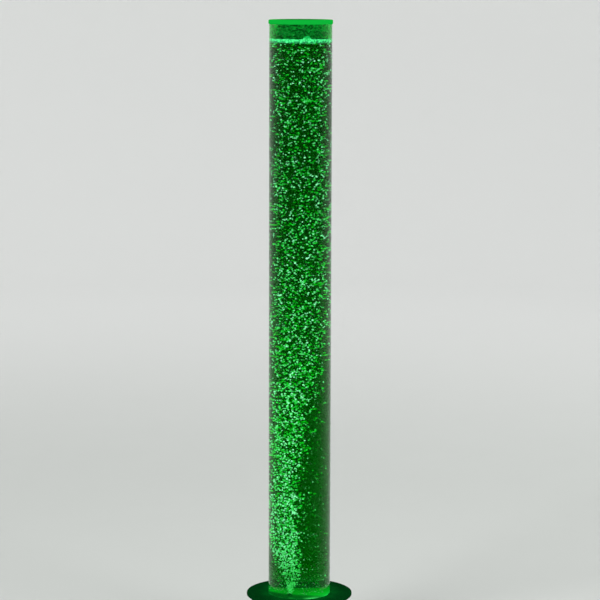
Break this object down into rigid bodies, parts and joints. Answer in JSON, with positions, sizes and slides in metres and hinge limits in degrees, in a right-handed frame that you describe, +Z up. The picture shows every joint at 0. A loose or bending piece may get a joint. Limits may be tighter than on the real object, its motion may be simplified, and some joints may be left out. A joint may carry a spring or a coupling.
{
  "type": "bubble tube floor lamp",
  "caption": "Floor lamp: a tall clear tube of lit water with rising bubbles, a lift-off lid, and a round base with pump, lamps, switch and drain valve.",
  "frame": {"origin": "on the floor, at the centre of the base, under the tube's axis", "axes": "+Z up along the tube; -Y is the front, and the recess with the switch and the drain valve is on the +Y side"},
  "size_m": [0.256, 0.256, 1.5],
  "materials": {
    "clear_tube": "clear polished acrylic",
    "clear_floor": "clear acrylic, lit from below",
    "clear_lid": "clear acrylic, lit at its edge",
    "water": "clear water, lit green",
    "lit_bubble": "air in the water, lit green",
    "dark_gloss": "dark polished sheet",
    "dark_shell": "fine moulded grain",
    "panel_plastic": "fine moulded grain",
    "black_plastic": "smooth moulded",
    "rocker_plastic": "smooth moulded",
    "button_metal": "satin",
    "zinc_steel": "zinc plated",
    "brass": "turned, dull nickel over brass",
    "chrome_ball": "polished",
    "lever_paint": "painted steel",
    "white_seat": "smooth low-friction plastic",
    "black_rubber": "matt rubber",
    "board_green": "varnished circuit board",
    "board_bits": "moulded",
    "board_white": "white coated",
    "lamp_lens": "clear domes, lit green",
    "clear_hose": "soft clear hose",
    "clear_valve": "clear moulded",
    "lead_jacket": "lead insulation"
  },
  "bodies": {
    "base": {"tube": "clear_tube", "tube_floor": "clear_floor", "water_column": "water", "bubbles": "lit_bubble", "air_nozzle": "black_plastic", "top_plate": "dark_gloss", "drum": "dark_shell", "plate_screws": "zinc_steel", "tube_socket": "dark_shell", "tube_seal": "black_rubber", "socket_screws": "zinc_steel", "base_cover": "dark_shell", "cover_screws": "zinc_steel", "rubber_feet": "black_rubber", "rear_panel": "panel_plastic", "panel_screws": "zinc_steel", "dc_inlet": "black_plastic", "inlet_nut": "zinc_steel", "switch_body": "black_plastic", "button_sleeve": "button_metal", "button_nut": "zinc_steel", "control_board": "board_green", "board_parts": "board_bits", "board_screws": "zinc_steel", "led_board": "board_white", "leds": "lamp_lens", "led_spacers": "brass", "led_screws": "zinc_steel", "nozzle_washer": "black_rubber", "nozzle_nut": "zinc_steel", "air_hose": "clear_hose", "check_valve": "clear_valve", "pump_motor": "zinc_steel", "pump_head": "black_plastic", "pump_bracket": "zinc_steel", "pump_mounts": "black_rubber", "pump_screws": "zinc_steel", "drain_fitting": "black_plastic", "drain_washer": "black_rubber", "drain_nut": "black_plastic", "drain_hose": "clear_hose", "valve_body": "brass", "valve_tail": "brass", "valve_seats": "white_seat", "valve_nut": "brass", "inlet_lead": "lead_jacket", "switch_lead": "lead_jacket", "button_lead": "lead_jacket", "led_lead": "lead_jacket", "pump_lead": "lead_jacket"},
    "lid": {"lid": "clear_lid", "lid_seal": "black_rubber"},
    "rocker": {"switch_rocker": "rocker_plastic"},
    "button": {"mode_button": "button_metal"},
    "lever": {"valve_ball": "chrome_ball", "valve_lever": "lever_paint"}
  },
  "joints": [
    {"name": "lid_lift", "type": "slide", "parent": "base", "child": "lid", "axis": [0, 0, 1], "range_m": [0, 0.06]},
    {"name": "switch_rock", "type": "hinge", "parent": "base", "child": "rocker", "pos_m": [-0.01267, 0.095, 0.048], "axis": [-1, 0, 0], "range_deg": [0, 18]},
    {"name": "button_press", "type": "slide", "parent": "base", "child": "button", "axis": [0, -1, 0], "range_m": [0, 0.0015], "stiffness_N_per_m": 800, "springref_m": -0.001},
    {"name": "lever_turn", "type": "hinge", "parent": "base", "child": "lever", "pos_m": [0.032, 0.103, 0.04], "axis": [0, 0, -1], "range_deg": [0, 90]}
  ]
}
